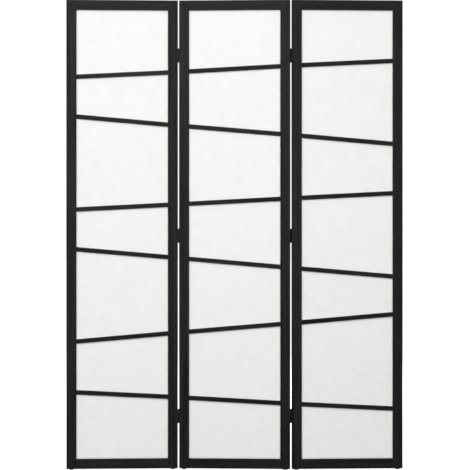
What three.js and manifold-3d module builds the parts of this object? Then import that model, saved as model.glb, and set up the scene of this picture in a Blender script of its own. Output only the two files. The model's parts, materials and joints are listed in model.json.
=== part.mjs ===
// A three-panel folding room divider: black wooden frames, slanting slats in front of
// stretched non-woven sheets, and butt hinges that fold the outer panels opposite ways. It stands
// opened to a shallow zigzag. Millimetres, +Z up, the front faces -Y and the floor is at z = 0.
import * as THREE from "three";
import { mergeVertices } from "three/addons/utils/BufferGeometryUtils.js";
import Module from "manifold-3d";

const wasm = await Module();
wasm.setup();

// Panels
const PANEL_WIDTH = 403;
const SCREEN_HEIGHT = 1700;
const JOINT_GAP = 4;
const PANEL_PITCH = PANEL_WIDTH + JOINT_GAP;
const SCREEN_WIDTH = 3 * PANEL_WIDTH + 2 * JOINT_GAP;
const STANDING_FOLD = THREE.MathUtils.degToRad(5);

// Frame members
const MEMBER_WIDTH = 36;
const FRAME_THICKNESS = 18;
const ARRIS = 1;
const TENON = { length: 10, height: 18, thickness: 6, fromEdge: 8 };
const FIT = 0.25;
const SHOULDER_GAP = 0.15;

// Slats: each line runs straight on through all the panels when they lie flat, and is set
// by its height above the floor at the screen's left and right edges
const SLAT = { height: 16, thickness: 6, inset: 1.5, housing: 4 };
const SLAT_LINES = [
  { left: 1420, right: 1483 },
  { left: 1281, right: 1177 },
  { left: 940, right: 1003 },
  { left: 801, right: 696 },
  { left: 461, right: 565 },
  { left: 282, right: 218 },
];

// Sheet and the bead that holds it, in a rebate around the back of the opening
const REBATE = 6;
const SHEET = { thickness: 0.6, edge: 5, clearance: 0.2 };
const BEAD = { width: 6.5, thickness: 7 };

// Hinges
const HINGE = { height: 50, leafWidth: 14, leafThickness: 0.95, filmGap: 0.05, axisBeyondFace: 3 };
const KNUCKLES = { count: 5, gap: 0.3, bore: 1, segments: 16 };
const PIN = { radius: 0.9, headRadius: 1.8, headHeight: 1.2, seat: 0.1, tail: 0.6 };
const SCREW_HOLE = { radius: 1.6, headRadius: 2.6, fromEdge: 4.5, pitch: 30, segments: 12 };
const TOP_HINGE_DROP = 200;
const BOTTOM_HINGE_HEIGHT = 193;

// Glides
const GLIDE = { height: 3, radius: 8, rounding: 1, stemRadius: 2.5, stemLength: 13, segments: 20 };
const GLIDE_HOLE = { radius: 2.8, depth: 14 };

// Derived places
const FRONT = -FRAME_THICKNESS / 2;
const BACK = FRAME_THICKNESS / 2;
const AXIS_DEPTH = BACK + HINGE.axisBeyondFace;
const HALF_PANEL = PANEL_WIDTH / 2;
const HALF_OPENING = HALF_PANEL - MEMBER_WIDTH;
const FRAME_BOTTOM = GLIDE.height;
const OPENING_BOTTOM = FRAME_BOTTOM + MEMBER_WIDTH;
const OPENING_TOP = SCREEN_HEIGHT - MEMBER_WIDTH;
const SLAT_FRONT = FRONT + SLAT.inset;
const SLAT_BACK = SLAT_FRONT + SLAT.thickness;
const SHEET_FRONT = SLAT_BACK + SHEET.clearance;
const BEAD_FRONT = SHEET_FRONT + SHEET.thickness + SHEET.clearance;
const TOP_HINGE_HEIGHT = SCREEN_HEIGHT - TOP_HINGE_DROP;
const HINGE_HEIGHTS = [
  { name: "top", z: TOP_HINGE_HEIGHT },
  { name: "centre", z: (TOP_HINGE_HEIGHT + BOTTOM_HINGE_HEIGHT) / 2 },
  { name: "bottom", z: BOTTOM_HINGE_HEIGHT },
];

const FINISHES = {
  blackPaint: { color: 0x2b2b2b, roughness: 0.5, metalness: 0 },
  nonWoven: { color: 0xf4f4f2, roughness: 0.95, metalness: 0 },
  blackSteel: { color: 0x1d1d1e, roughness: 0.4, metalness: 0.9 },
  blackPlastic: { color: 0x141414, roughness: 0.6, metalness: 0 },
};

/** A named mesh with a material of its own. */
function piece(name, geometry, finish) {
  const mesh = new THREE.Mesh(geometry, new THREE.MeshStandardMaterial(FINISHES[finish]));
  mesh.name = name;
  return mesh;
}

/** A closed geometry as a solid that can be cut and joined. */
function toSolid(geometry) {
  const bare = geometry.clone();
  bare.deleteAttribute("normal");
  bare.deleteAttribute("uv");
  const merged = mergeVertices(bare, 1e-5);
  return new wasm.Manifold(
    new wasm.Mesh({
      numProp: 3,
      vertProperties: new Float32Array(merged.attributes.position.array),
      triVerts: new Uint32Array(merged.index.array),
    }),
  );
}

/** A solid as a geometry for a mesh. */
function toGeometry(solid) {
  const { vertProperties, triVerts } = solid.getMesh();
  const geometry = new THREE.BufferGeometry();
  geometry.setAttribute("position", new THREE.BufferAttribute(vertProperties, 3));
  geometry.setIndex(new THREE.BufferAttribute(triVerts, 1));
  geometry.computeVertexNormals();
  return geometry;
}

/** A box given by its ranges along X, Y and Z. */
function block([x0, x1], [y0, y1], [z0, z1]) {
  const box = new THREE.BoxGeometry(x1 - x0, y1 - y0, z1 - z0);
  return box.translate((x0 + x1) / 2, (y0 + y1) / 2, (z0 + z1) / 2);
}

/** An outline drawn in X and Z, extruded along Y between two depths. */
function upright(shape, [y0, y1]) {
  const solid = new THREE.ExtrudeGeometry(shape, { depth: y1 - y0, bevelEnabled: false });
  return solid.rotateX(Math.PI / 2).translate(0, y1, 0);
}

/** A shape from a list of points. */
function outline(points) {
  return new THREE.Shape(points.map(([x, y]) => new THREE.Vector2(x, y)));
}

/** A member's section: square on its inner edge (0) and eased on both arrises of its outer edge. */
function memberSection() {
  return outline([
    [0, FRONT],
    [MEMBER_WIDTH - ARRIS, FRONT],
    [MEMBER_WIDTH, FRONT + ARRIS],
    [MEMBER_WIDTH, BACK - ARRIS],
    [MEMBER_WIDTH - ARRIS, BACK],
    [0, BACK],
  ]);
}

/** The rebate around the back of an opening. */
function rebate() {
  const reach = HALF_OPENING + REBATE;
  return toSolid(
    block([-reach, reach], [SLAT_BACK, BACK + 1], [OPENING_BOTTOM - REBATE, OPENING_TOP + REBATE]),
  );
}

/** The height of a slat's line at a place across the screen laid flat. */
function lineHeight(line, x) {
  return THREE.MathUtils.lerp(line.left, line.right, x / SCREEN_WIDTH + 0.5);
}

/** A slat, or with growth the housing that takes its ends. */
function slat(line, panelX, growth = 0) {
  const reach = HALF_OPENING + SLAT.housing - FIT + growth;
  const slope = (line.right - line.left) / SCREEN_WIDTH;
  const half = (SLAT.height / 2 + growth) * Math.hypot(1, slope);
  const left = lineHeight(line, panelX - reach);
  const right = lineHeight(line, panelX + reach);
  const shape = outline([
    [-reach, left - half],
    [reach, right - half],
    [reach, right + half],
    [-reach, left + half],
  ]);
  return upright(shape, [SLAT_FRONT - growth, SLAT_BACK + growth]);
}

/** The rails' tenons, or with growth the mortises that take them, at both ends of a rail. */
function tenons(railOuterZ, inward, growth = 0) {
  const near = railOuterZ + inward * (TENON.fromEdge - growth);
  const far = railOuterZ + inward * (TENON.fromEdge + TENON.height + growth);
  const halfThickness = TENON.thickness / 2 + growth;
  const heights = [Math.min(near, far), Math.max(near, far)];
  const depths = [-halfThickness, halfThickness];
  const reach = HALF_OPENING + TENON.length + growth;
  const root = HALF_OPENING - 1;
  return toSolid(block([-reach, -root], depths, heights)).add(
    toSolid(block([root, reach], depths, heights)),
  );
}

/** A rail between the stiles, with a tenon at each end. */
function rail(outerZ, inward) {
  const length = 2 * (HALF_OPENING - SHOULDER_GAP);
  const bar = new THREE.ExtrudeGeometry(memberSection(), { depth: length, bevelEnabled: false });
  // the section's outer edge points down for the bottom rail and up for the top one
  bar.rotateY(inward * (Math.PI / 2));
  bar.translate((-inward * length) / 2, 0, outerZ + inward * MEMBER_WIDTH);
  return toGeometry(toSolid(bar).add(tenons(outerZ, inward)).subtract(rebate()));
}

/** The blind hole in a stile's lower end that takes the glide's stem. */
function glideHole(x) {
  const { radius, depth } = GLIDE_HOLE;
  const hole = new THREE.CylinderGeometry(radius, radius, depth + 1, GLIDE.segments);
  return toSolid(hole.rotateX(Math.PI / 2).translate(x, 0, FRAME_BOTTOM + (depth - 1) / 2));
}

/** A full-height stile, on the side -1 or 1 of its panel, with its mortises, housings and rebate. */
function stile(side, panelX) {
  const height = SCREEN_HEIGHT - FRAME_BOTTOM;
  const bar = new THREE.ExtrudeGeometry(memberSection(), { depth: height, bevelEnabled: false });
  if (side < 0) bar.rotateZ(Math.PI);
  bar.translate(side * HALF_OPENING, 0, FRAME_BOTTOM);
  let solid = toSolid(bar)
    .subtract(rebate())
    .subtract(tenons(FRAME_BOTTOM, 1, FIT))
    .subtract(tenons(SCREEN_HEIGHT, -1, FIT))
    .subtract(glideHole(side * (HALF_PANEL - MEMBER_WIDTH / 2)));
  for (const line of SLAT_LINES) {
    solid = solid.subtract(toSolid(slat(line, panelX, FIT)));
  }
  return toGeometry(solid);
}

/** The sheet, stretched behind the slats with its edge in the rebate. */
function sheet() {
  const reach = HALF_OPENING + SHEET.edge;
  const heights = [OPENING_BOTTOM - SHEET.edge, OPENING_TOP + SHEET.edge];
  return block([-reach, reach], [SHEET_FRONT, SHEET_FRONT + SHEET.thickness], heights);
}

/** A rectangle around the opening, wider than it by an edge. */
function openingRectangle(edge) {
  const reach = HALF_OPENING + edge;
  const bottom = OPENING_BOTTOM - edge;
  const top = OPENING_TOP + edge;
  return [[-reach, bottom], [reach, bottom], [reach, top], [-reach, top]];
}

/** The bead: one ring of wooden strip that presses the sheet's edge into the rebate. */
function bead() {
  const outerEdge = REBATE - FIT;
  const ring = outline(openingRectangle(outerEdge));
  ring.holes.push(outline(openingRectangle(outerEdge - BEAD.width)));
  return upright(ring, [BEAD_FRONT, BEAD_FRONT + BEAD.thickness]);
}

/** A round plastic glide on a stem. */
function glide() {
  const { height, radius, rounding, stemRadius, stemLength, segments } = GLIDE;
  const profile = [
    [0, 0],
    [radius - rounding, 0],
    [radius - rounding * (1 - Math.SQRT1_2), rounding * (1 - Math.SQRT1_2)],
    [radius, rounding],
    [radius, height],
    [stemRadius, height],
    [stemRadius, height + stemLength],
    [0, height + stemLength],
  ].map(([r, z]) => new THREE.Vector2(r, z));
  return new THREE.LatheGeometry(profile, segments).rotateX(Math.PI / 2);
}

/** One panel, centred on its own middle, with everything that is fixed in its frame. */
function panel(name, flatX) {
  const group = new THREE.Group();
  for (const [sideName, side] of [["left", -1], ["right", 1]]) {
    group.add(piece(`${name}_stile_${sideName}`, stile(side, flatX), "blackPaint"));
    const foot = piece(`${name}_glide_${sideName}`, glide(), "blackPlastic");
    foot.position.x = side * (HALF_PANEL - MEMBER_WIDTH / 2);
    group.add(foot);
  }
  group.add(piece(`${name}_rail_top`, rail(SCREEN_HEIGHT, -1), "blackPaint"));
  group.add(piece(`${name}_rail_bottom`, rail(FRAME_BOTTOM, 1), "blackPaint"));
  SLAT_LINES.forEach((line, index) => {
    group.add(piece(`${name}_slat_${index + 1}`, slat(line, flatX), "blackPaint"));
  });
  group.add(piece(`${name}_sheet`, sheet(), "nonWoven"));
  group.add(piece(`${name}_bead`, bead(), "blackPaint"));
  return group;
}

/** A hinge leaf on the side -1 or 1 of the axis: a plate, its knuckles and its screw holes. */
function leaf(side, ownKnuckles) {
  const outer = JOINT_GAP / 2 - HINGE.filmGap;
  const inner = outer - HINGE.leafThickness;
  const clearOfBarrel = outer + KNUCKLES.gap;
  const tip = HINGE.axisBeyondFace + HINGE.leafWidth;
  const across = side > 0 ? [inner, outer] : [-outer, -inner];
  const half = HINGE.height / 2;
  const pitch = (HINGE.height + KNUCKLES.gap) / KNUCKLES.count;
  let solid = toSolid(block(across, [clearOfBarrel, tip], [-half, half]));
  const bores = [];
  for (const index of ownKnuckles) {
    const bottom = -half + index * pitch;
    const top = bottom + pitch - KNUCKLES.gap;
    const length = top - bottom;
    const middle = (bottom + top) / 2;
    const barrel = new THREE.CylinderGeometry(outer, outer, length, KNUCKLES.segments);
    barrel.rotateX(Math.PI / 2).rotateZ(Math.PI / 2).translate(0, 0, middle);
    const bore = new THREE.CylinderGeometry(KNUCKLES.bore, KNUCKLES.bore, length + 1, KNUCKLES.segments);
    bores.push(toSolid(bore.rotateX(Math.PI / 2).translate(0, 0, middle)));
    solid = solid.add(toSolid(barrel)).add(toSolid(block(across, [0, clearOfBarrel + 1], [bottom, top])));
  }
  for (const bore of bores) solid = solid.subtract(bore);
  for (const end of [-1, 1]) {
    solid = solid.subtract(screwHole(side, tip - SCREW_HOLE.fromEdge, (end * SCREW_HOLE.pitch) / 2));
  }
  return toGeometry(solid);
}

/** A countersunk screw hole through a leaf, open towards the hinge's middle plane. */
function screwHole(side, y, z) {
  const outer = JOINT_GAP / 2 - HINGE.filmGap;
  const inner = outer - HINGE.leafThickness;
  const { radius, headRadius, segments } = SCREW_HOLE;
  const profile = [
    [0, inner - 1],
    [headRadius, inner - 1],
    [headRadius, inner],
    [radius, inner + headRadius - radius],
    [radius, outer + 1],
    [0, outer + 1],
  ].map(([r, depth]) => new THREE.Vector2(r, depth));
  const cutter = new THREE.LatheGeometry(profile, segments);
  return toSolid(cutter.rotateZ(-side * (Math.PI / 2)).translate(0, y, z));
}

/** A hinge pin with a low head that stops it dropping through. */
function pin() {
  const { radius, headRadius, headHeight, seat, tail } = PIN;
  const half = HINGE.height / 2;
  const profile = [
    [0, -half - tail],
    [radius, -half - tail],
    [radius, half + seat],
    [headRadius, half + seat],
    [headRadius, half + seat + headHeight / 2],
    [headRadius / 2, half + seat + headHeight],
    [0, half + seat + headHeight],
  ].map(([r, z]) => new THREE.Vector2(r, z));
  return new THREE.LatheGeometry(profile, KNUCKLES.segments).rotateX(Math.PI / 2);
}

/** The same part of a joint's three hinges, each at its height, on the axis of the left joint. */
function atHingeHeights(side, parts) {
  const group = new THREE.Group();
  for (const { name: level, z } of HINGE_HEIGHTS) {
    for (const [partName, geometry] of Object.entries(parts)) {
      const mesh = piece(`${side < 0 ? "left" : "right"}_hinge_${level}_${partName}`, geometry(), "blackSteel");
      mesh.position.z = z;
      group.add(mesh);
    }
  }
  group.rotation.z = side > 0 ? Math.PI : 0;
  return group;
}

/**
 * The joint on the side -1 or 1 of the middle panel, with the outer panel that swings on it. The
 * pins of the left joint stand in front of the frames and those of the right joint behind them,
 * so the right joint is the left one turned half round.
 */
function joint(side) {
  const axis = new THREE.Group();
  axis.add(atHingeHeights(side, { leaf_fixed: () => leaf(1, [0, 2, 4]), pin }));
  const swing = new THREE.Group();
  swing.add(atHingeHeights(side, { leaf_swinging: () => leaf(-1, [1, 3]) }));
  const outer = panel(side < 0 ? "left" : "right", side * PANEL_PITCH);
  outer.position.set((side * PANEL_PITCH) / 2, -side * AXIS_DEPTH, 0);
  swing.add(outer);
  swing.rotation.z = STANDING_FOLD;
  axis.add(swing);
  axis.position.set((side * PANEL_PITCH) / 2, side * AXIS_DEPTH, 0);
  return axis;
}

const screen = new THREE.Group();
screen.name = "folding_screen";
screen.add(panel("middle", 0));
screen.add(joint(-1));
screen.add(joint(1));
screen.rotation.z = -STANDING_FOLD / 2;

export default screen;
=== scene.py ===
"""A three-panel folding room divider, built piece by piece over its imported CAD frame.

Black painted frames carry slanting slats in front of stretched white non-woven sheets. Three butt
hinges to a joint let the left panel fold to the front and the right panel to the back. All lengths
named in millimetres are turned to metres by MM; every place comes from the CAD nodes' own boxes.
"""

import sys
import json
import logging
import math
from dataclasses import dataclass
from enum import Enum
from typing import Callable, Iterable, Sequence

import bmesh
import bpy
from mathutils import Matrix, Vector, noise


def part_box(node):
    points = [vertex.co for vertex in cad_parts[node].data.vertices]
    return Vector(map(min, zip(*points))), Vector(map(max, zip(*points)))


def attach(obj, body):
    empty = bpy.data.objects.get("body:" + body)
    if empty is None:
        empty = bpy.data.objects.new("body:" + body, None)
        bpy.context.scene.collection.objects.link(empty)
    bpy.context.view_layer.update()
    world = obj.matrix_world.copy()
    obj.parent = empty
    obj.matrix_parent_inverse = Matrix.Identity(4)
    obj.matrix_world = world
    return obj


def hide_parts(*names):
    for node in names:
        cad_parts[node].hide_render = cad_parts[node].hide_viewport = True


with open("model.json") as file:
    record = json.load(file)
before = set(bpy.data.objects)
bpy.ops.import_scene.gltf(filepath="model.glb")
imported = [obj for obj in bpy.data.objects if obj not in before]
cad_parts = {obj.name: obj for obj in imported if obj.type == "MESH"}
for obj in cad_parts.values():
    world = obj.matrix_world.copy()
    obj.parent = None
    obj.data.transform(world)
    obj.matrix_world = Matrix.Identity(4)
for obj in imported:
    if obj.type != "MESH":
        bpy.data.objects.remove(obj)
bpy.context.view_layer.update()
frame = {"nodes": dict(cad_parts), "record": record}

LOG = logging.getLogger("folding_screen")
MM = 0.001
# places closer than this count as one
NEAR = 0.01 * MM
# the steps round each kind of round piece; a screw has as many as its hole
BRAD_STEPS, HOLE_STEPS, CURL_STEPS, PIN_STEPS, GLIDE_STEPS = 12, 24, 24, 32, 40
# edges that turn more than this are left sharp in the shading
CREASE = math.radians(40)

Point = tuple[float, float]
Tree = bpy.types.NodeTree
Socket = bpy.types.NodeSocket
Solid = bmesh.types.BMesh
Edge = bmesh.types.BMEdge


class Grain(Enum):
    """The direction that a board's grain runs in."""

    UP = "up"
    ACROSS = "across"


class Side(Enum):
    """The left or the right of a panel, or the joint on that side of the middle one."""

    LEFT = -1
    RIGHT = 1

    @property
    def word(self) -> str:
        """The side's name as the CAD nodes spell it."""
        return self.name.lower()


# ---- Shader helpers ----


def linear(colour: str, alpha: float = 1.0) -> tuple[float, float, float, float]:
    """Turns an sRGB hex colour to linear.

    Args:
        colour: six hex digits after a hash.
        alpha: the fourth value.

    Returns:
        The linear red, green, blue and alpha.
    """
    levels = [int(colour[i : i + 2], 16) / 255 for i in (1, 3, 5)]
    red, green, blue = (v / 12.92 if v <= 0.04045 else ((v + 0.055) / 1.055) ** 2.4 for v in levels)
    return red, green, blue, alpha


def add_node(
    tree: Tree,
    kind: str,
    inputs: dict[str | int, object] | None = None,
    out: str | int = 0,
    **settings: object,
) -> Socket:
    """Adds a shader node with its settings, values and links.

    Args:
        tree: the node tree to add it to.
        kind: the node's class name without the ShaderNode in front.
        inputs: socket names or numbers, each with the output that feeds it or the value it takes.
        out: the name or number of the output that is wanted.
        settings: the node's own properties.

    Returns:
        That output of the new node.
    """
    node = tree.nodes.new("ShaderNode" + kind)
    for key, value in settings.items():
        setattr(node, key, value)
    for key, value in (inputs or {}).items():
        if isinstance(value, Socket):
            tree.links.new(value, node.inputs[key])
        else:
            node.inputs[key].default_value = value
    return node.outputs[out]


# ---- Finishes ----


@dataclass(frozen=True)
class Finish:
    """A surface finish. Subclasses wire their own pattern in dress().

    Attributes:
        name: the material's name.
        colour: the base colour, sRGB hex.
        roughness: the typical roughness of the finish.
        ior: the refractive index; metals keep the default.
        metallic: 0 or 1.
        offset: a shift of the pattern, in metres.
    """

    name: str
    colour: str
    roughness: float
    ior: float = 1.5
    metallic: float = 0.0
    offset: float = 0.0

    def material(self) -> bpy.types.Material:
        """Makes the material on first use.

        Returns:
            The material.
        """
        made = bpy.data.materials.get(self.name)
        if made is not None:
            return made
        made = bpy.data.materials.new(self.name)
        made.use_nodes = True
        made.diffuse_color = linear(self.colour)
        shader = made.node_tree.nodes["Principled BSDF"]
        shader.inputs["Base Color"].default_value = linear(self.colour)
        shader.inputs["Roughness"].default_value = self.roughness
        shader.inputs["Metallic"].default_value = self.metallic
        shader.inputs["IOR"].default_value = self.ior
        self.dress(made.node_tree, shader)
        return made

    def dress(self, tree: Tree, shader: bpy.types.Node) -> None:
        """Wires the finish's pattern.

        Args:
            tree: the material's node tree.
            shader: its Principled BSDF.
        """
        raise NotImplementedError

    def place(self, tree: Tree) -> Socket:
        """The piece's own coordinates in metres, moved by offset so that panels differ."""
        own = add_node(tree, "TexCoord", out="Object")
        return add_node(tree, "Mapping", {"Location": (self.offset,) * 3, "Vector": own})

    def feed(
        self,
        tree: Tree,
        shader: bpy.types.Node,
        colour: Socket,
        relief: Socket,
        gloss: Socket,
        change: Point,
        span: Point = (0.0, 1.0),
    ) -> None:
        """Feeds the shader with a colour, a relief and a roughness that changes around the typical one.

        Args:
            tree: the material's node tree.
            shader: its Principled BSDF.
            colour: the base colour.
            relief: the normal.
            gloss: the pattern that the roughness follows.
            change: what the roughness gains at the pattern's low and high end.
            span: the pattern's low and high end.
        """
        low, high = (self.roughness + gain for gain in change)
        ends = {"From Min": span[0], "From Max": span[1], "To Min": low, "To Max": high}
        roughness = add_node(tree, "MapRange", {**ends, "Value": gloss})
        for name, source in (("Base Color", colour), ("Roughness", roughness), ("Normal", relief)):
            tree.links.new(source, shader.inputs[name])

    @staticmethod
    def mix(
        tree: Tree, factor: Socket, first: str | Socket, second: str
    ) -> Socket:
        """Mixes a colour into another.

        Args:
            tree: the material's node tree.
            factor: 0 for the first colour and 1 for the second.
            first: an sRGB hex colour, or an output that gives a colour.
            second: an sRGB hex colour.

        Returns:
            The mixed colour.
        """
        node = add_node(tree, "Mix", {"Factor": factor}, data_type="RGBA").node
        ends = [s for s in node.inputs if s.type == "RGBA"]
        if isinstance(first, str):
            ends[0].default_value = linear(first)
        else:
            tree.links.new(first, ends[0])
        ends[1].default_value = linear(second)
        return next(s for s in node.outputs if s.type == "RGBA")


@dataclass(frozen=True)
class SprayedLacquerOnPine(Finish):
    """Satin black lacquer sprayed on planed pine.

    The lacquer is thin, so the lengthwise grain still shows as a faint ribbing and as slightly
    lighter and darker streaks. The spray leaves a soft orange peel, and the arrises, where the
    lacquer draws thin and gets rubbed in handling, are a touch lighter in patches.

    Attributes:
        streak: the lighter colour of the streaks, sRGB hex.
        rubbed: the colour of a rubbed arris, sRGB hex.
        grain: the direction of the grain.
        grain_mm: the width of a growth ring on the face.
        figure_mm: how far a streak runs along the board.
        peel_mm: the pitch of the orange peel.
    """

    streak: str = "#212020"
    rubbed: str = "#403c3a"
    grain: Grain = Grain.UP
    grain_mm: float = 2.4
    figure_mm: float = 160.0
    # real orange peel on such lacquer is about 0.8 mm across; it is drawn coarser so that it shows
    peel_mm: float = 1.6

    def dress(self, tree: Tree, shader: bpy.types.Node) -> None:
        """Wires grain streaks, orange peel, gloss changes and rubbed arrises.

        Args:
            tree: the material's node tree.
            shader: its Principled BSDF.
        """
        fine, long = 1 / (self.grain_mm * MM), 1 / (self.figure_mm * MM)
        scale = (fine, fine, long) if self.grain is Grain.UP else (long, fine, fine)
        place = self.place(tree)
        along = add_node(tree, "Mapping", {"Scale": scale, "Vector": place})
        rings = add_node(
            tree,
            "TexNoise",
            {"Scale": 1.0, "Detail": 5.0, "Roughness": 0.62, "Distortion": 0.35, "Vector": along},
        )
        wide = add_node(
            tree, "TexNoise", {"Scale": 0.22, "Detail": 2.0, "Distortion": 0.8, "Vector": along}
        )
        streaks = add_node(tree, "Math", {0: rings, 1: wide}, operation="MULTIPLY")
        spread = add_node(tree, "MapRange", {"From Min": 0.14, "From Max": 0.38, "Value": streaks})
        figured = self.mix(tree, spread, self.colour, self.streak)
        worn = self.mix(tree, self.rubbed_edge(tree, place), figured, self.rubbed)
        peel = add_node(
            tree,
            "TexNoise",
            {"Scale": 1 / (self.peel_mm * MM), "Detail": 2.0, "Roughness": 0.45, "Vector": place},
        )
        cloud = add_node(tree, "TexNoise", {"Scale": 11.0, "Detail": 3.0, "Vector": place})
        ribbing = add_node(tree, "Bump", {"Strength": 0.7, "Distance": 0.25 * MM, "Height": rings})
        surface = add_node(
            tree,
            "Bump",
            {"Strength": 0.35, "Distance": 0.05 * MM, "Height": peel, "Normal": ribbing},
        )
        self.feed(tree, shader, worn, surface, cloud, change=(-0.05, 0.07), span=(0.3, 0.7))

    @staticmethod
    def rubbed_edge(tree: Tree, place: Socket) -> Socket:
        """Wires the mask of the rubbed arrises.

        Args:
            tree: the material's node tree.
            place: the object coordinates.

        Returns:
            An output that is above 0 in patches of the arris faces.
        """
        arris = add_node(tree, "Attribute", attribute_name="arris", out="Fac")
        patches = add_node(tree, "TexNoise", {"Scale": 26.0, "Detail": 4.0, "Vector": place})
        rub = add_node(tree, "MapRange", {"From Min": 0.42, "From Max": 0.72, "Value": patches})
        return add_node(tree, "Math", {0: arris, 1: rub}, operation="MULTIPLY")


@dataclass(frozen=True)
class SpunbondSheet(Finish):
    """White spunbond non-woven of polypropylene, the paper-like cloth of such screens.

    Fibres laid at random and pressed together in small dots: matte, a little cloudy where the
    web is thicker or thinner, with a faint sheen and a fine pitted face.

    Attributes:
        thin: the colour of the thinner places, sRGB hex.
        cloud_mm: the size of the cloudy patches.
        fibre_mm: the width of a bundle of fibres.
        dot_mm: the pitch of the pressed dots.
    """

    thin: str = "#f1f1f0"
    cloud_mm: float = 30.0
    # single fibres are 0.02 mm wide; bundles are drawn this wide so that they show
    fibre_mm: float = 1.3
    # the real dots are about 1.5 mm apart; they are drawn twice as coarse so that they show
    dot_mm: float = 3.0

    def dress(self, tree: Tree, shader: bpy.types.Node) -> None:
        """Wires clouds, crossing fibres and pressed dots.

        Args:
            tree: the material's node tree.
            shader: its Principled BSDF.
        """
        shader.inputs["Sheen Weight"].default_value = 0.08
        shader.inputs["Sheen Roughness"].default_value = 0.6
        place = self.place(tree)
        cloud = add_node(
            tree,
            "TexNoise",
            {"Scale": 1 / (self.cloud_mm * MM), "Detail": 4.0, "Roughness": 0.6, "Vector": place},
        )
        fibres = [self.fibre_layer(tree, place, turn) for turn in (0.5, -0.6, 1.45)]
        crossing = add_node(tree, "Math", {0: fibres[0], 1: fibres[1]}, operation="MAXIMUM")
        web = add_node(tree, "Math", {0: crossing, 1: fibres[2]}, operation="MAXIMUM")
        dots = add_node(
            tree, "TexVoronoi", {"Scale": 1 / (self.dot_mm * MM), "Randomness": 0.15, "Vector": place}
        )
        pit = add_node(tree, "MapRange", {"From Min": 0.12, "From Max": 0.3, "Value": dots})
        patchy = add_node(tree, "Math", {0: cloud, 1: 0.7}, operation="MULTIPLY")
        body = add_node(tree, "Math", {0: web, 1: 0.3, 2: patchy}, operation="MULTIPLY_ADD")
        cover = add_node(tree, "MapRange", {"From Min": 0.3, "From Max": 0.75, "Value": body})
        colour = self.mix(tree, cover, self.thin, self.colour)
        nap = add_node(tree, "Bump", {"Strength": 0.6, "Distance": 0.2 * MM, "Height": web})
        face = add_node(
            tree,
            "Bump",
            {"Strength": 0.5, "Distance": 0.1 * MM, "Height": pit, "Normal": nap},
        )
        self.feed(tree, shader, colour, face, pit, change=(-0.12, 0.0))

    def fibre_layer(self, tree: Tree, place: Socket, turn: float) -> Socket:
        """Wires one direction of fibres.

        Args:
            tree: the material's node tree.
            place: the object coordinates.
            turn: the fibres' angle in the sheet's plane, in radians.

        Returns:
            The layer's height.
        """
        across = 1 / (self.fibre_mm * MM)
        turned = add_node(tree, "Mapping", {"Rotation": (0, turn, 0), "Vector": place})
        drawn = add_node(tree, "Mapping", {"Scale": (across, across, across / 14), "Vector": turned})
        return add_node(tree, "TexNoise", {"Scale": 1.0, "Detail": 3.0, "Distortion": 1.1, "Vector": drawn})


@dataclass(frozen=True)
class BlackOxidisedSteel(Finish):
    """Pressed mild steel, blacked and oiled.

    A dark metal with a satin gloss: the rolling leaves fine lines along the strip, which the
    gloss follows, and the black is worn thin in small specks.

    Attributes:
        worn: the colour where the black has rubbed thin, sRGB hex.
        line_mm: the pitch of the rolling lines.
        wear_mm: the size of the worn specks.
    """

    metallic: float = 1.0
    worn: str = "#8d8c8b"
    # the real lines are about 0.1 mm apart and are drawn coarser so that they show
    line_mm: float = 0.35
    wear_mm: float = 1.8

    def dress(self, tree: Tree, shader: bpy.types.Node) -> None:
        """Wires rolling lines and worn specks.

        Args:
            tree: the material's node tree.
            shader: its Principled BSDF.
        """
        place = self.place(tree)
        fine = 1 / (self.line_mm * MM)
        along = add_node(tree, "Mapping", {"Scale": (fine, fine, fine / 40), "Vector": place})
        lines = add_node(tree, "TexNoise", {"Scale": 1.0, "Detail": 3.0, "Vector": along})
        specks = add_node(
            tree,
            "TexNoise",
            {"Scale": 1 / (self.wear_mm * MM), "Detail": 6.0, "Roughness": 0.7, "Vector": place},
        )
        rub = add_node(tree, "MapRange", {"From Min": 0.56, "From Max": 0.82, "To Max": 0.5, "Value": specks})
        colour = self.mix(tree, rub, self.colour, self.worn)
        relief = add_node(tree, "Bump", {"Strength": 0.3, "Distance": 0.03 * MM, "Height": lines})
        self.feed(tree, shader, colour, relief, lines, change=(-0.1, 0.12), span=(0.3, 0.7))


@dataclass(frozen=True)
class MouldedPolyethylene(Finish):
    """Black polyethylene from a spark-eroded mould.

    The mould's fine pitting makes it matte, and handling and sliding on the floor leave scuffs of
    a slightly greyer black.

    Attributes:
        scuffed: the colour of scuffed places, sRGB hex.
        grit_mm: the grain of the eroded mould.
    """

    scuffed: str = "#2c2c2c"
    # the real grain is about 0.1 mm and is drawn coarser so that it shows
    grit_mm: float = 0.4

    def dress(self, tree: Tree, shader: bpy.types.Node) -> None:
        """Wires the eroded grain and the scuffs.

        Args:
            tree: the material's node tree.
            shader: its Principled BSDF.
        """
        place = self.place(tree)
        grit = add_node(
            tree, "TexNoise", {"Scale": 1 / (self.grit_mm * MM), "Detail": 2.0, "Vector": place}
        )
        scuff = add_node(tree, "TexNoise", {"Scale": 420.0, "Detail": 5.0, "Vector": place})
        marks = add_node(tree, "MapRange", {"From Min": 0.5, "From Max": 0.72, "Value": scuff})
        colour = self.mix(tree, marks, self.colour, self.scuffed)
        relief = add_node(tree, "Bump", {"Strength": 0.4, "Distance": 0.05 * MM, "Height": grit})
        self.feed(tree, shader, colour, relief, marks, change=(0.0, 0.15))


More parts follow.
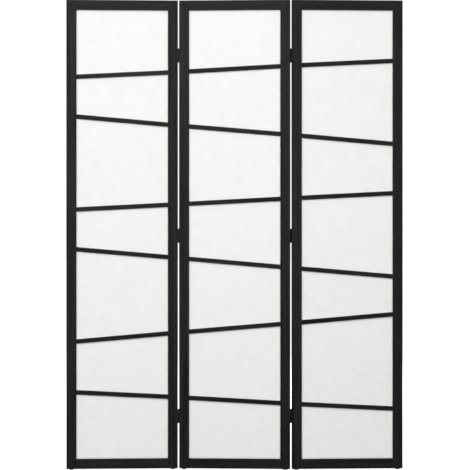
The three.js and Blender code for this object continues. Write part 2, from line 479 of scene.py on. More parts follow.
@dataclass(frozen=True)
class StudioFloor(Finish):
    """Seamless white paper, matte and evenly lit."""

    def dress(self, tree: Tree, shader: bpy.types.Node) -> None:
        """Wires the paper's faint mottle and its even glow.

        Args:
            tree: the material's node tree.
            shader: its Principled BSDF.
        """
        mottle = add_node(tree, "TexNoise", {"Scale": 3.0, "Detail": 3.0, "Vector": self.place(tree)})
        paper = self.mix(tree, mottle, "#f7f7f6", self.colour)
        tree.links.new(paper, shader.inputs["Base Color"])
        shader.inputs["Emission Color"].default_value = linear(self.colour)
        shader.inputs["Emission Strength"].default_value = 0.8


# ---- Mesh helpers ----


def new_mesh() -> Solid:
    """Starts a mesh whose faces carry the arris mark.

    Returns:
        The empty mesh.
    """
    bm = bmesh.new()
    bm.faces.layers.float.new("arris")
    return bm


def prism(outline: Iterable[Sequence[float]], sweep: Sequence[float]) -> Solid:
    """Makes a closed prism.

    Args:
        outline: the corners of one end, in order.
        sweep: the way from that end to the other.

    Returns:
        The mesh.
    """
    bm = new_mesh()
    near = [bm.verts.new(p) for p in outline]
    far = [bm.verts.new(v.co + Vector(sweep)) for v in near]
    bm.faces.new(near)
    bm.faces.new(list(reversed(far)))
    for i, a in enumerate(near):
        j = (i + 1) % len(near)
        bm.faces.new([a, far[i], far[j], near[j]])
    bmesh.ops.recalc_face_normals(bm, faces=bm.faces)
    return bm


def box(low: Sequence[float], high: Sequence[float]) -> Solid:
    """Makes a box between two corners."""
    corners = ((low[0], low[1]), (high[0], low[1]), (high[0], high[1]), (low[0], high[1]))
    return prism([(x, y, low[2]) for x, y in corners], (0, 0, high[2] - low[2]))


def upright(outline: Sequence[Point], front: float, back: float) -> Solid:
    """Makes a prism from an outline in X and Z, between two depths along Y."""
    return prism([(x, front, z) for x, z in outline], (0, back - front, 0))


def quarter(steps: int) -> list[float]:
    """The angles of a quarter turn in equal steps, in radians."""
    return [math.radians(90 * k / steps) for k in range(steps + 1)]


def turned(profile: Sequence[Point], segments: int) -> Solid:
    """Turns a profile round Z.

    Args:
        profile: radius and height of each point; it starts and ends on the axis.
        segments: the number of steps round.

    Returns:
        The closed mesh.
    """
    bm = new_mesh()
    rings: list[list[bmesh.types.BMVert]] = []
    for radius, height in profile:
        if radius == 0:
            rings.append([bm.verts.new((0, 0, height))])
            continue
        angles = (2 * math.pi * k / segments for k in range(segments))
        rings.append([bm.verts.new((radius * math.cos(a), radius * math.sin(a), height)) for a in angles])
    for below, above in zip(rings, rings[1:]):
        for k in range(segments):
            n = (k + 1) % segments
            corners = [ring[i % len(ring)] for ring, i in ((below, k), (below, n), (above, n), (above, k))]
            bm.faces.new(list(dict.fromkeys(corners)))
    bmesh.ops.recalc_face_normals(bm, faces=bm.faces)
    return bm


def add_object(name: str, data: bpy.types.ID) -> bpy.types.Object:
    """Adds an object to the scene.

    Args:
        name: its name.
        data: its mesh, light or camera.

    Returns:
        The object.
    """
    made = bpy.data.objects.new(name, data)
    bpy.context.scene.collection.objects.link(made)
    return made


def shown(bm: Solid, name: str) -> bpy.types.Object:
    """Turns a mesh into an object in the scene.

    Args:
        bm: the mesh, which is used up.
        name: the object's name.

    Returns:
        The object.
    """
    mesh = bpy.data.meshes.new(name)
    bm.to_mesh(mesh)
    bm.free()
    return add_object(name, mesh)


def carved(bm: Solid, tools: Iterable[Solid]) -> Solid:
    """Cuts other solids out of a solid.

    Args:
        bm: the solid, which is used up.
        tools: the other solids, which are used up too.

    Returns:
        What is left.
    """
    made = [shown(solid, "blank") for solid in (bm, *tools)]
    for tool in made[1:]:
        cut = made[0].modifiers.new("cut", "BOOLEAN")
        cut.operation = "DIFFERENCE"
        cut.object = tool
        cut.solver = "EXACT"
    depsgraph = bpy.context.evaluated_depsgraph_get()
    result = bmesh.new()
    result.from_mesh(made[0].evaluated_get(depsgraph).to_mesh())
    for blank in made:
        mesh = blank.data
        bpy.data.objects.remove(blank)
        bpy.data.meshes.remove(mesh)
    if result.faces.layers.float.get("arris") is None:
        result.faces.layers.float.new("arris")
    bmesh.ops.remove_doubles(result, verts=result.verts, dist=0.001 * MM)
    return result


def ease(
    bm: Solid,
    radius: float,
    picked: Callable[[Edge], bool],
    steps: int = 3,
) -> None:
    """Rounds the picked edges and marks the new faces as arris.

    Args:
        bm: the mesh.
        radius: how far the rounding reaches on each side.
        picked: says whether an edge is rounded.
        steps: the number of faces across the rounding.
    """
    mark = bm.faces.layers.float["arris"]
    edges = [e for e in bm.edges if len(e.link_faces) == 2 and picked(e)]
    made = bmesh.ops.bevel(
        bm, geom=edges, offset=radius, segments=steps, profile=0.5, affect="EDGES", clamp_overlap=True
    )
    for face in made["faces"]:
        face[mark] = 1.0


def on_box_edge(edge: Edge, low: Sequence[float], high: Sequence[float]) -> int:
    """Says which axis an edge of a box runs along.

    Args:
        edge: an edge of the mesh.
        low: the box's lowest corner.
        high: its highest corner.

    Returns:
        0, 1 or 2 for an edge that lies on one of the box's twelve, or -1.
    """
    a, b = (v.co for v in edge.verts)
    held = [
        any(abs(a[k] - side[k]) < NEAR and abs(b[k] - side[k]) < NEAR for side in (low, high))
        for k in range(3)
    ]
    return held.index(False) if sum(held) == 2 else -1


def finished(bm: Solid, name: str) -> bpy.types.Object:
    """Turns a mesh into a smooth-shaded object whose flat faces stay flat.

    Args:
        bm: the mesh, which is used up.
        name: the object's name.

    Returns:
        The object, linked to the scene.
    """
    for face in bm.faces:
        face.smooth = True
    for edge in bm.edges:
        edge.smooth = len(edge.link_faces) != 2 or edge.calc_face_angle(0) < CREASE
    piece = shown(bm, name)
    shading = piece.modifiers.new("flat faces stay flat", "WEIGHTED_NORMAL")
    shading.keep_sharp = True
    return piece


# ---- Sub-assemblies ----


@dataclass
class Holder:
    """A CAD body and the frame that its pieces are built in.

    Attributes:
        body: the body that the pieces ride on.
        matrix: the frame at rest.
    """

    body: str
    matrix: Matrix

    def put(
        self,
        name: str,
        bm: Solid,
        finish: Finish,
        slot: str,
        *nodes: str,
        own: Matrix | None = None,
    ) -> bpy.types.Object:
        """Places a mesh as a finished piece.

        Args:
            name: the piece's name.
            bm: its mesh, in the holder's frame or in the piece's own.
            finish: its finish.
            slot: the record's material slot; not used.
            nodes: the CAD nodes that it stands for.
            own: the piece's own frame in the holder's, if it has one.

        Returns:
            The piece.
        """
        piece = finished(bm, name)
        piece.matrix_world = self.matrix @ (own or Matrix.Identity(4))
        piece.data.materials.append(finish.material())
        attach(piece, self.body)
        if nodes:
            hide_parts(*nodes)
        LOG.info("%s on %s, %d faces", name, self.body, len(piece.data.polygons))
        return piece


@dataclass
class Panel:
    """One framed panel: stiles, rails, slats, sheet, bead, brads and glides.

    All sizes are in millimetres.

    Attributes:
        name: left, middle or right.
        member: the width of a stile or rail.
        thickness: the depth of the frame from front to back.
        arris: how far the long edges are rounded.
        joint_arris: how far the rails' end edges are eased, which leaves a hairline at the joint.
        rebate_reach: how far the rebate for the sheet reaches past the opening.
        slats: how many slats cross the opening.
        slat_fit: the play of a slat's end in its housing.
        sheet_thickness: the thickness of the non-woven sheet.
        sheet_wave: the depth of the waves that stretching leaves.
        sheet_grid: the steps across and up the sheet.
        bead_width: across the bead that holds the sheet.
        bead_rounding: the radius of its inner back edge.
        mitre_gap: the gap at each of its mitres.
        brad_pitch: how far the bead's brads are apart.
        brad_inset: how far they are from its outer edge.
        brad_length: how deep they go.
        brad_radius: the radius of a brad's head.
        brad_height: how far a head stands out.
        glide_rim: the radius of a glide's soft rim.
        glide_stem: the radius of its stem.
        glide_ribs: how many ribs the stem has.
        glide_rib: how far a rib stands out from the stem.
        glide_fit: the play of the ribs in the stile's hole.
        glide_dish: how deep the middle of its underside is dished.
    """

    name: str
    member: float = 36.0
    thickness: float = 18.0
    arris: float = 1.0
    joint_arris: float = 0.15
    rebate_reach: float = 6.0
    slats: int = 6
    slat_fit: float = 0.2
    sheet_thickness: float = 0.2
    sheet_wave: float = 0.35
    sheet_grid: tuple[int, int] = (36, 144)
    bead_width: float = 6.5
    bead_rounding: float = 3.0
    mitre_gap: float = 0.15
    brad_pitch: float = 180.0
    brad_inset: float = 2.4
    brad_length: float = 5.0
    brad_radius: float = 0.9
    brad_height: float = 0.15
    glide_rim: float = 1.0
    glide_stem: float = 2.4
    glide_ribs: int = 4
    glide_rib: float = 0.3
    glide_fit: float = 0.1
    glide_dish: float = 0.35

    def __post_init__(self) -> None:
        """Finds the panel's own frame from its two round glides, and picks its finishes."""
        left, right = (self.centre_of(f"{self.name}_glide_{side.word}") for side in Side)
        across = (right - left).normalized()
        turn = Matrix.Rotation(math.atan2(across.y, across.x), 4, "Z")
        middle = (left + right) / 2
        self.holder = Holder(f"{self.name}_panel", Matrix.Translation((middle.x, middle.y, 0)) @ turn)
        self.half = ((right - left).length + self.member * MM) / 2
        self.opening = self.half - self.member * MM
        low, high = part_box(f"{self.name}_stile_left")
        self.bottom, self.top = low[2], high[2]
        self.sheet_depth = self.depths(f"{self.name}_sheet")
        self.slat_depth = self.depths(f"{self.name}_slat_1")
        self.bead_depth = self.depths(f"{self.name}_bead")
        offset = {"left": 1.7, "middle": 0.0, "right": 3.1}[self.name]
        lacquer = {"colour": "#080808", "roughness": 0.46, "offset": offset}
        upright_name, level_name = (f"lacquered_pine_{way}_{self.name}" for way in ("upright", "level"))
        self.upright_wood = SprayedLacquerOnPine(upright_name, grain=Grain.UP, **lacquer)
        self.level_wood = SprayedLacquerOnPine(level_name, grain=Grain.ACROSS, **lacquer)
        self.cloth = SpunbondSheet(f"spunbond_{self.name}", "#f8f8f7", 0.92, offset=offset)
        self.plastic = MouldedPolyethylene("moulded_polyethylene", "#141414", 0.55)
        self.nail = BlackOxidisedSteel("blacked_steel_brads", "#4c4c4e", 0.42)

    @staticmethod
    def centre_of(node: str) -> Vector:
        """The centre of a CAD node's box at rest."""
        low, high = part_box(node)
        return (Vector(low) + Vector(high)) / 2

    def outline_of(self, node: str) -> list[Vector]:
        """The vertices of a CAD node in the panel's own frame."""
        back = self.holder.matrix.inverted()
        return [back @ v.co for v in frame["nodes"][node].data.vertices]

    def depths(self, node: str) -> Point:
        """The front and the back of a CAD node in the panel's own frame."""
        ys = [p.y for p in self.outline_of(node)]
        return min(ys), max(ys)

    def extent(self, node: str) -> tuple[float, float, float]:
        """How far a CAD node reaches sideways, and its bottom and top, in the panel's frame."""
        points = self.outline_of(node)
        return max(p.x for p in points), min(p.z for p in points), max(p.z for p in points)

    def slat_nodes(self) -> list[str]:
        """The names of the slats' CAD nodes."""
        return [f"{self.name}_slat_{number + 1}" for number in range(self.slats)]

    def slat_outline(self, node: str, growth: float = 0.0) -> list[Point]:
        """The four corners of a slat, seen from the front.

        Args:
            node: the slat's CAD node.
            growth: how much larger the outline is on every side, in metres.

        Returns:
            The corners, counter-clockwise from the lower left.
        """
        points = self.outline_of(node)
        reach = max(p.x for p in points)
        ends = [[p.z for p in points if p.x * side.value > 0] for side in Side]
        (left_low, left_high), (right_low, right_high) = ((min(zs), max(zs)) for zs in ends)
        x = reach + growth
        return [
            (-x, left_low - growth),
            (x, right_low - growth),
            (x, right_high + growth),
            (-x, left_high + growth),
        ]

    def rebate(self) -> Solid:
        """Makes the cutter of the rebate around the back of the opening.

        Returns:
            The cutter, in the panel's frame.
        """
        edge, member = self.rebate_reach * MM, self.member * MM
        reach = self.opening + edge
        back = self.thickness * MM / 2
        low = (-reach, self.slat_depth[1], self.bottom + member - edge)
        high = (reach, back + MM, self.top - member + edge)
        return box(low, high)

    def build(self) -> None:
        """Builds and dresses every piece of the panel."""
        for side in Side:
            self.build_stile(side)
            self.build_glide(side)
        self.build_rails()
        for node in self.slat_nodes():
            self.build_slat(node)
        self.build_sheet()
        self.build_bead()
        self.build_brads()

    def build_stile(self, side: Side) -> None:
        """Builds a full-height stile with its slat housings and its part of the rebate.

        Args:
            side: the side of the panel that it stands on.
        """
        half_depth = self.thickness * MM / 2
        xs = sorted((side.value * self.opening, side.value * self.half))
        low, high = (xs[0], -half_depth, self.bottom), (xs[1], half_depth, self.top)
        play = self.slat_fit * MM
        front, back = self.slat_depth[0] - play, self.slat_depth[1] + play
        housings = [upright(self.slat_outline(node, play), front, back) for node in self.slat_nodes()]
        bm = carved(box(low, high), [self.rebate(), *housings, self.glide_hole(side)])
        ease(bm, self.arris * MM, lambda e: on_box_edge(e, low, high) >= 0)
        name = f"{self.name}_stile_{side.word}"
        self.holder.put(f"{name}_board", bm, self.upright_wood, "black_wood", name)

    def glide_hole(self, side: Side) -> Solid:
        """Makes the cutter of the blind hole in a stile's lower end that takes the glide's stem.

        Args:
            side: the side of the panel that the stile stands on.

        Returns:
            The cutter, in the panel's frame.
        """
        node = f"{self.name}_glide_{side.word}"
        centre = self.holder.matrix.inverted() @ self.centre_of(node)
        radius = (self.glide_stem + self.glide_rib + self.glide_fit) * MM
        low, high = self.bottom - MM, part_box(node)[1][2] + MM
        cutter = turned([(0.0, low), (radius, low), (radius, high), (0.0, high)], HOLE_STEPS)
        cutter.transform(Matrix.Translation((centre.x, centre.y, 0)))
        return cutter

    def build_rails(self) -> None:
        """Builds the top and bottom rails between the stiles."""
        half_depth, member = self.thickness * MM / 2, self.member * MM
        for place, bottom in (("bottom", self.bottom), ("top", self.top - member)):
            low = (-self.opening, -half_depth, bottom)
            high = (self.opening, half_depth, bottom + member)
            bm = carved(box(low, high), [self.rebate()])
            ease(bm, self.arris * MM, lambda e, a=low, b=high: on_box_edge(e, a, b) == 0)
            ease(bm, self.joint_arris * MM, self.on_rail_end, steps=1)
            name = f"{self.name}_rail_{place}"
            self.holder.put(f"{name}_board", bm, self.level_wood, "black_wood", name)

    def on_rail_end(self, edge: Edge) -> bool:
        """Whether an edge runs up an end face of a rail, at its front or back."""
        a, b = (v.co for v in edge.verts)
        return min(abs(a.x), abs(b.x)) > self.opening - NEAR and abs(a.z - b.z) > self.member * MM / 2

    def build_slat(self, node: str) -> None:
        """Builds one slanting slat with rounded long edges.

        Args:
            node: its CAD node.
        """
        bm = upright(self.slat_outline(node), *self.slat_depth)
        ease(bm, self.arris * MM, lambda e: abs(e.verts[0].co.x - e.verts[1].co.x) > self.opening)
        self.holder.put(f"{node}_board", bm, self.level_wood, "black_wood", node)

    def build_sheet(self) -> None:
        """Builds the stretched sheet, with the slight waves that stretching leaves."""
        columns, rows = self.sheet_grid
        wave, thickness = self.sheet_wave * MM, self.sheet_thickness * MM
        half, low, high = self.extent(f"{self.name}_sheet")
        seed = self.cloth.offset * 10
        bm = new_mesh()
        grid: list[list[bmesh.types.BMVert]] = []
        for row in range(rows + 1):
            v = row / rows
            line = []
            for column in range(columns + 1):
                u = column / columns
                # the frame holds the cloth flat at its edges
                hold = min(1.0, 8 * min(u, 1 - u), 30 * min(v, 1 - v))
                broad = noise.noise(Vector((u * 1.6 + seed, v * 7, seed)))
                fine = noise.noise(Vector((u * 9, v * 22 + seed, seed)))
                swell = broad + 0.35 * fine
                depth = self.sheet_depth[0] + thickness + wave * hold * (0.6 + swell)
                line.append(bm.verts.new((half * (2 * u - 1), depth, low + (high - low) * v)))
            grid.append(line)
        for lower, upper in zip(grid, grid[1:]):
            for k in range(columns):
                bm.faces.new([lower[k], lower[k + 1], upper[k + 1], upper[k]])
        node = f"{self.name}_sheet"
        cloth = self.holder.put(f"{node}_cloth", bm, self.cloth, "non_woven_sheet", node)
        body = cloth.modifiers.new("cloth thickness", "SOLIDIFY")
        body.thickness = thickness
        body.offset = -1
        held_by = [f"{self.name}_stile_{side.word}_board" for side in Side]
        held_by += [f"{self.name}_rail_{place}_board" for place in ("bottom", "top")]

    def build_bead(self) -> None:
        """Builds the four mitred strips that press the sheet's edge into the rebate."""
        front, back = self.bead_depth
        reach, low, high = self.extent(f"{self.name}_bead")
        width, rounding = self.bead_width * MM, self.bead_rounding * MM
        x, y = width - rounding, back - rounding
        section = [(0.0, front), (width, front)]
        section += [(x + rounding * math.cos(a), y + rounding * math.sin(a)) for a in quarter(6)]
        section.append((0.0, back))
        corners = [(-reach, low), (reach, low), (reach, high), (-reach, high)]
        inward = [(1, 1), (-1, 1), (-1, -1), (1, -1)]
        gap = self.mitre_gap * MM / 2
        bm = new_mesh()
        for i in range(4):
            j = (i + 1) % 4
            run = Vector((corners[j][0] - corners[i][0], 0, corners[j][1] - corners[i][1])).normalized() * gap
            ends = []
            for k, shift in ((i, run), (j, -run)):
                (x, z), (dx, dz) = corners[k], inward[k]
                ends.append([bm.verts.new(Vector((x + dx * d, y, z + dz * d)) + shift) for d, y in section])
            near, far = ends
            strip = [bm.faces.new(near), bm.faces.new(list(reversed(far)))]
            for n, a in enumerate(near):
                m = (n + 1) % len(near)
                strip.append(bm.faces.new([a, far[n], far[m], near[m]]))
            for face in strip:
                face.material_index = i % 2
        bmesh.ops.recalc_face_normals(bm, faces=bm.faces)
        node = f"{self.name}_bead"
        strips = self.holder.put(f"{node}_strips", bm, self.level_wood, "black_wood", node)
        # the upright strips come second and fourth, and their grain runs up
        strips.data.materials.append(self.upright_wood.material())

    def build_brads(self) -> None:
        """Builds the low heads of the brads that hold the bead, as one piece."""
        back = self.bead_depth[1]
        inset = self.brad_inset * MM
        reach, low, high = self.extent(f"{self.name}_bead")
        reach, low, high = reach - inset, low + inset, high - inset
        radius, height, depth = self.brad_radius * MM, self.brad_height * MM, self.brad_length * MM
        rim = [(0.0, -depth), (radius * 0.5, -depth), (radius * 0.5, 0.0), (radius, 0.0)]
        profile = [*rim, (radius, height / 2), (radius * 0.6, height), (0.0, height)]
        places = [(side.value * reach, z) for side in Side for z in self.spaced(low, high)]
        places += [(x, z) for z in (low, high) for x in self.spaced(-reach, reach)]
        bm = new_mesh()
        for x, z in places:
            head = turned(profile, BRAD_STEPS)
            head.transform(Matrix.Translation((x, back, z)) @ Matrix.Rotation(-math.pi / 2, 4, "X"))
            mesh = bpy.data.meshes.new("blank")
            head.to_mesh(mesh)
            head.free()
            bm.from_mesh(mesh)
            bpy.data.meshes.remove(mesh)
        self.holder.put(f"{self.name}_brads", bm, self.nail, "hinge_steel")

    def spaced(self, low: float, high: float) -> list[float]:
        """Places between two ends, evenly apart and about one brad pitch from each other."""
        count = max(1, round((high - low) / (self.brad_pitch * MM)))
        return [low + (high - low) / count * (k + 0.5) for k in range(count)]

    def build_glide(self, side: Side) -> None:
        """Builds a moulded glide: a round foot with a soft rim, on a ribbed stem.

        Args:
            side: the side of the panel that it is under.
        """
        node = f"{self.name}_glide_{side.word}"
        low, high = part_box(node)
        radius, top = (high[0] - low[0]) / 2, high[2]
        foot, rim, stem = self.bottom, self.glide_rim * MM, self.glide_stem * MM
        rib, dish = self.glide_rib * MM, self.glide_dish * MM
        profile = [(0.0, dish), (stem / 2, dish), (stem / 2 + dish, 0.0)]
        profile += [(radius - rim + rim * math.sin(a), rim - rim * math.cos(a)) for a in quarter(5)]
        profile += [(radius, foot - rib), (radius - rib, foot), (stem, foot)]
        for k in range(self.glide_ribs):
            base = foot + (top - foot) * (k + 0.5) / self.glide_ribs
            profile += [(stem, base - MM), (stem + rib, base), (stem, base + rib)]
        profile += [(stem * 0.8, top - rib), (stem * 0.5, top), (0.0, top)]
        centre = self.holder.matrix.inverted() @ self.centre_of(node)
        own = Matrix.Translation((centre.x, centre.y, 0))
        moulding = turned(profile, GLIDE_STEPS)
        self.holder.put(f"{node}_moulding", moulding, self.plastic, "glide_plastic", node, own=own)


@dataclass
class Hinge:
    """A butt hinge of two pressed leaves, a pin and four countersunk screws.

    All sizes are in millimetres.

    Attributes:
        joint: the side of the middle panel that it is on.
        level: top, centre or bottom.
        fixed: the middle panel.
        swinging: the outer panel.
        strip: the thickness of the strip that the leaves are pressed from.
        knuckles: how many knuckles make the barrel.
        gap: the play between knuckles.
        wrap_degrees: how far a knuckle curls round the pin.
        corner: the radius of the leaf's outer corners.
        burr: how far the pressed edges are softened.
        hole_from_tip: how far the screw holes are from the leaf's tip.
        hole_pitch: how far they are apart.
        hole_radius: their radius.
        head_radius: the radius of the countersink.
        screw_length: the length of a screw.
        shank_radius: the radius of its shank between the threads.
        thread: how far the thread stands out.
        thread_pitch: how far its turns are apart.
        thread_turns: how many there are.
        recess: the length, the width and the depth of the head's cross recess.
        pin_radius: the pin's radius.
        pin_seat: the play under its head.
        pin_chamfer: the size of the chamfer at its tail and of the straight rim of its head.
    """

    joint: Side
    level: str
    fixed: Panel
    swinging: Panel
    strip: float = 0.95
    knuckles: int = 5
    gap: float = 0.3
    wrap_degrees: float = 290.0
    corner: float = 2.0
    burr: float = 0.12
    hole_from_tip: float = 4.5
    hole_pitch: float = 30.0
    hole_radius: float = 1.6
    head_radius: float = 2.6
    screw_length: float = 12.0
    shank_radius: float = 1.1
    thread: float = 0.35
    thread_pitch: float = 0.85
    thread_turns: int = 9
    recess: tuple[float, float, float] = (3.0, 0.6, 1.0)
    pin_radius: float = 0.9
    pin_seat: float = 0.1
    pin_chamfer: float = 0.3

    def __post_init__(self) -> None:
        """Finds the hinge's place from its joint and its fixed leaf, and picks its finishes."""
        self.name = f"{self.joint.word}_hinge_{self.level}"
        places = {j["name"]: Vector(j["pos_m"]) for j in frame["record"]["behaviour"]["joints"]}
        axis = places[f"{self.joint.word}_fold"]
        low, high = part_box(f"{self.name}_leaf_fixed")
        self.half = (high[2] - low[2]) / 2
        centre = Matrix.Translation((axis.x, axis.y, (low[2] + high[2]) / 2))
        half_round = Matrix.Rotation(math.pi if self.joint is Side.RIGHT else 0.0, 4, "Z")
        self.holders = {}
        for word, panel in (("fixed", self.fixed), ("swinging", self.swinging)):
            turn = panel.holder.matrix.to_quaternion().to_matrix().to_4x4()
            self.holders[word] = Holder(panel.holder.body, centre @ turn @ half_round)
        back = self.holders["fixed"].matrix.inverted()
        plate = [back @ v.co for v in frame["nodes"][f"{self.name}_leaf_fixed"].data.vertices]
        self.radius = max(p.x for p in plate)
        self.tip = max(p.y for p in plate)
        self.leaf_steel = BlackOxidisedSteel("blacked_steel_leaves", "#5a5a5c", 0.38)
        self.pin_steel = BlackOxidisedSteel("blacked_steel_pins", "#626264", 0.3)
        self.screw_steel = BlackOxidisedSteel("blacked_steel_screws", "#666668", 0.34)

    def build(self) -> None:
        """Builds and dresses the leaves, the pin and the screws."""
        for word, side, own in (("fixed", Side.RIGHT, (0, 2, 4)), ("swinging", Side.LEFT, (1, 3))):
            node = f"{self.name}_leaf_{word}"
            holder, plate = self.holders[word], self.leaf(side, own)
            holder.put(f"{node}_plate", plate, self.leaf_steel, "hinge_steel", node)
            for number, end in enumerate((1, -1), 1):
                name = f"{self.name}_screw_{word}_{number}"
                place = self.screw_place(side, end)
                holder.put(name, self.screw(), self.screw_steel, "hinge_steel", own=place)
        node = f"{self.name}_pin"
        self.holders["fixed"].put(f"{node}_turned", self.pin(), self.pin_steel, "hinge_steel", node)

    def leaf(self, side: Side, own: Sequence[int]) -> Solid:
        """Makes a leaf: a plate with round corners, curled knuckles and countersunk holes.

        Args:
            side: the side of the axis that the plate lies on.
            own: which knuckles, counted from the bottom, belong to it.

        Returns:
            The leaf, with the hinge's centre as its origin.
        """
        outer, gap = self.radius, self.gap * MM
        inner = outer - self.strip * MM
        section = [(x, y, -self.half) for x, y in self.curl_section(inner, outer)]
        bm = prism(section, (0, 0, 2 * self.half))
        ease(bm, self.corner * MM, self.on_tip_corner, steps=6)
        pitch, reach = (2 * self.half + gap) / self.knuckles, outer + MM
        notches = [
            box((-reach, -reach, low - gap), (reach, outer + gap, low + pitch))
            for low in (index * pitch - self.half for index in range(self.knuckles) if index not in own)
        ]
        bm = carved(bm, [*notches, *(self.countersink(inner, outer, end) for end in (1, -1))])
        if side is Side.LEFT:
            bm.transform(Matrix.Scale(-1, 4, (1, 0, 0)))
            bmesh.ops.reverse_faces(bm, faces=bm.faces)
        ease(bm, self.burr * MM, lambda e: e.calc_face_angle(0) > math.radians(60), steps=2)
        return bm

    def on_tip_corner(self, edge: Edge) -> bool:
        """Whether an edge crosses the strip at one of the plate's two outer corners."""
        a, b = (v.co for v in edge.verts)
        return min(a.y, b.y) > self.tip - NEAR and abs(a.z - b.z) < NEAR

    def curl_section(self, inner: float, outer: float) -> list[Point]:
        """The section of a leaf: a flat plate whose strip curls round the pin.

        Args:
            inner: the strip's inner radius.
            outer: its outer radius.

        Returns:
            The section's corners in X and Y.
        """
        steps = range(CURL_STEPS + 1)
        angles = [-math.radians(self.wrap_degrees * k / CURL_STEPS) for k in steps]
        wrap = [(outer * math.cos(a), outer * math.sin(a)) for a in angles]
        bore = [(inner * math.cos(a), inner * math.sin(a)) for a in reversed(angles)]
        return [(outer, self.tip), *wrap, *bore, (inner, self.tip)]

    def countersink(self, inner: float, outer: float, end: int) -> Solid:
        """Makes the cutter of one countersunk hole, through a plate on the right of the axis.

        Args:
            inner: the distance of the plate's inner face from the axis.
            outer: the distance of its outer face.
            end: 1 for the upper hole and -1 for the lower.

        Returns:
            The cutter, which reaches past both faces.
        """
        hole, head = self.hole_radius * MM, self.head_radius * MM
        through = 2 * (outer - inner)
        over = 0.5 * MM
        profile = [(0.0, -over), (head + over, -over), (hole, head - hole), (hole, through), (0.0, through)]
        cutter = turned(profile, HOLE_STEPS)
        cutter.transform(self.screw_place(Side.RIGHT, end))
        return cutter

    def screw_place(self, side: Side, end: int) -> Matrix:
        """The frame of a screw: its origin at the head's middle and +Z along it into the wood.

        Args:
            side: the side of the axis that its leaf lies on.
            end: 1 for the upper screw and -1 for the lower.

        Returns:
            The frame, in the leaf's own.
        """
        across, along = side.value * (self.radius - self.strip * MM), self.tip - self.hole_from_tip * MM
        place = Vector((across, along, end * self.hole_pitch * MM / 2))
        return Matrix.Translation(place) @ Matrix.Rotation(side.value * math.pi / 2, 4, "Y")

    def screw(self) -> Solid:
        """Makes a countersunk wood screw with a cross recess and a threaded shank.

        Returns:
            The screw, with the middle of its head as its origin.
        """
        shank, length = self.shank_radius * MM, self.screw_length * MM
        fit = 0.1 * MM
        head, neck = self.head_radius * MM - fit, self.hole_radius * MM * 0.8
        profile = [(0.0, fit / 2), (head - fit, fit / 2), (head, 1.5 * fit), (neck, head - shank)]
        thread, pitch = self.thread * MM, self.thread_pitch * MM
        for turn in range(self.thread_turns):
            base = 2 * shank + turn * pitch
            profile += [(shank, base), (shank + thread, base + thread), (shank, base + 2 * thread)]
        profile += [(0.0, length)]
        arm, half, depth = self.recess[0] * MM / 2, self.recess[1] * MM / 2, self.recess[2] * MM
        cross = [
            box((-arm, -half, -MM), (arm, half, depth)),
            box((-half, -arm, -MM), (half, arm, depth)),
        ]
        return carved(turned(profile, HOLE_STEPS), cross)

    def pin(self) -> Solid:
        """Makes the pin with its domed head and chamfered tail.

        Returns:
            The pin, with the hinge's centre as its origin.
        """
        low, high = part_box(f"{self.name}_pin")
        centre = self.holders["fixed"].matrix.translation.z
        bottom, top = low[2] - centre, high[2] - centre
        radius, head = self.pin_radius * MM, (high[0] - low[0]) / 2
        seat, chamfer = self.half + self.pin_seat * MM, self.pin_chamfer * MM
        profile = [(0.0, bottom), (radius - chamfer, bottom), (radius, bottom + chamfer)]
        profile += [(radius, seat), (head, seat)]
        shoulder = seat + chamfer
        profile += [(head * math.cos(a), shoulder + (top - shoulder) * math.sin(a)) for a in quarter(6)[:-1]]
        profile += [(0.0, top)]
        return turned(profile, PIN_STEPS)


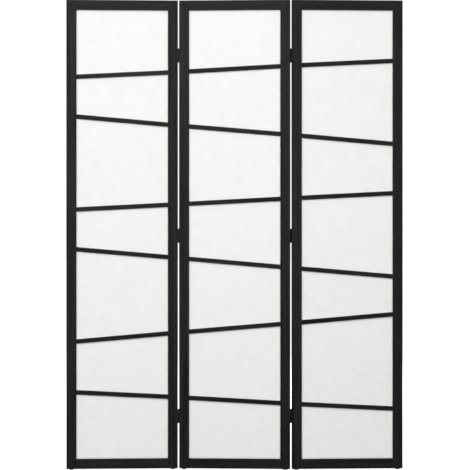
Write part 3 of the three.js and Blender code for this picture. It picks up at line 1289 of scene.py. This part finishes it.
@dataclass
class Studio:
    """The floor, the light and the camera.

    Attributes:
        distance: from the camera to the middle of the screen, in metres.
        lens: the camera's focal length in millimetres.
        sideways: how far right of the screen's middle the camera stands, in metres.
        eye: the height of the camera, in metres.
        sensor: the width of its sensor in millimetres.
        floor_reach: how far the floor reaches each way, in metres.
        floor_drop: how far it lies below the glides, in metres.
    """

    distance: float = 5.0
    lens: float = 105.6
    sideways: float = 0.0012
    eye: float = 0.8493
    sensor: float = 36.0
    floor_reach: float = 40.0
    floor_drop: float = 0.0002

    def build(self) -> None:
        """Lays the floor, hangs the lights and sets up the camera."""
        self.lay_floor()
        self.light_world()
        self.hang_softbox("key", (-2.0, -3.4, 3.2), 1.8, 32.0)
        self.hang_softbox("key_fill", (-0.9, -3.8, 2.7), 2.6, 66.0, glints=False)
        self.hang_softbox("front_fill", (0.4, -4.6, 1.0), 3.0, 112.0, aim=0.8, glints=False)
        self.hang_softbox("back", (0.8, 3.4, 2.6), 2.4, 110.0, glints=False)
        self.hang_softbox("back_glints", (1.2, 3.2, 3.4), 1.2, 12.0)
        self.place_camera()

    def lay_floor(self) -> None:
        """Lays a wide sheet of white paper under the screen."""
        reach = self.floor_reach
        bm = new_mesh()
        corners = ((-reach, -reach), (reach, -reach), (reach, reach), (-reach, reach))
        bm.faces.new([bm.verts.new((x, y, -self.floor_drop)) for x, y in corners])
        floor = shown(bm, "studio_floor")
        floor.data.materials.append(StudioFloor("seamless_paper", "#ffffff", 0.95).material())
        # the paper glows for the camera, and must not light the frames from below
        floor.visible_glossy = False
        floor.visible_diffuse = False

    def light_world(self) -> None:
        """Surrounds the scene with soft light, brighter from above, and a white background."""
        world = bpy.data.worlds.new("white_studio")
        world.use_nodes = True
        bpy.context.scene.world = world
        tree = world.node_tree
        background = tree.nodes["Background"]
        way = add_node(tree, "TexCoord")
        up = add_node(tree, "SeparateXYZ", {0: way}, out="Z")
        sky = add_node(
            tree,
            "MapRange",
            {"From Min": -0.3, "From Max": 0.5, "To Min": 0.05, "To Max": 0.36, "Value": up},
        )
        seen = add_node(tree, "LightPath")
        strength = add_node(tree, "Mix", {"B": 1.02, "Factor": seen, "A": sky}, data_type="FLOAT")
        tree.links.new(strength, background.inputs["Strength"])
        background.inputs["Color"].default_value = linear("#ffffff")

    def hang_softbox(
        self,
        name: str,
        place: Sequence[float],
        size: float,
        power: float,
        aim: float = 0.9,
        glints: bool = True,
    ) -> None:
        """Hangs a square softbox.

        Args:
            name: the light's name.
            place: where it hangs.
            size: the length of its side, in metres.
            power: its power in watts.
            aim: the height on the screen's middle line that it faces.
            glints: whether glossy surfaces mirror it.
        """
        light = bpy.data.lights.new(name, "AREA")
        light.shape = "SQUARE"
        light.size = size
        light.energy = power
        holder = add_object(name, light)
        holder.visible_glossy = glints
        way = Vector((0.0, 0.0, aim)) - Vector(place)
        holder.matrix_world = Matrix.Translation(place) @ way.to_track_quat("-Z", "Y").to_matrix().to_4x4()

    def place_camera(self) -> None:
        """Stands the camera straight in front, at half the screen's height, with a long lens."""
        camera = bpy.data.cameras.new("camera")
        camera.lens = self.lens
        camera.sensor_width = self.sensor
        camera.clip_end = 5 * self.floor_reach
        holder = add_object("camera", camera)
        place = Matrix.Translation((self.sideways, -self.distance, self.eye))
        holder.matrix_world = place @ Matrix.Rotation(math.pi / 2, 4, "X")
        bpy.context.scene.camera = holder


def main() -> None:
    """Builds the panels, the hinges and the studio."""
    logging.basicConfig(level=logging.INFO, format="%(name)s: %(message)s", stream=sys.stdout)
    bpy.context.scene.view_settings.view_transform = "Standard"
    panels = {name: Panel(name) for name in ("left", "middle", "right")}
    for panel in panels.values():
        panel.build()
    for joint in Side:
        for level in ("top", "centre", "bottom"):
            Hinge(joint, level, panels["middle"], panels[joint.word]).build()
    Studio().build()


if __name__ == "__main__":
    main()
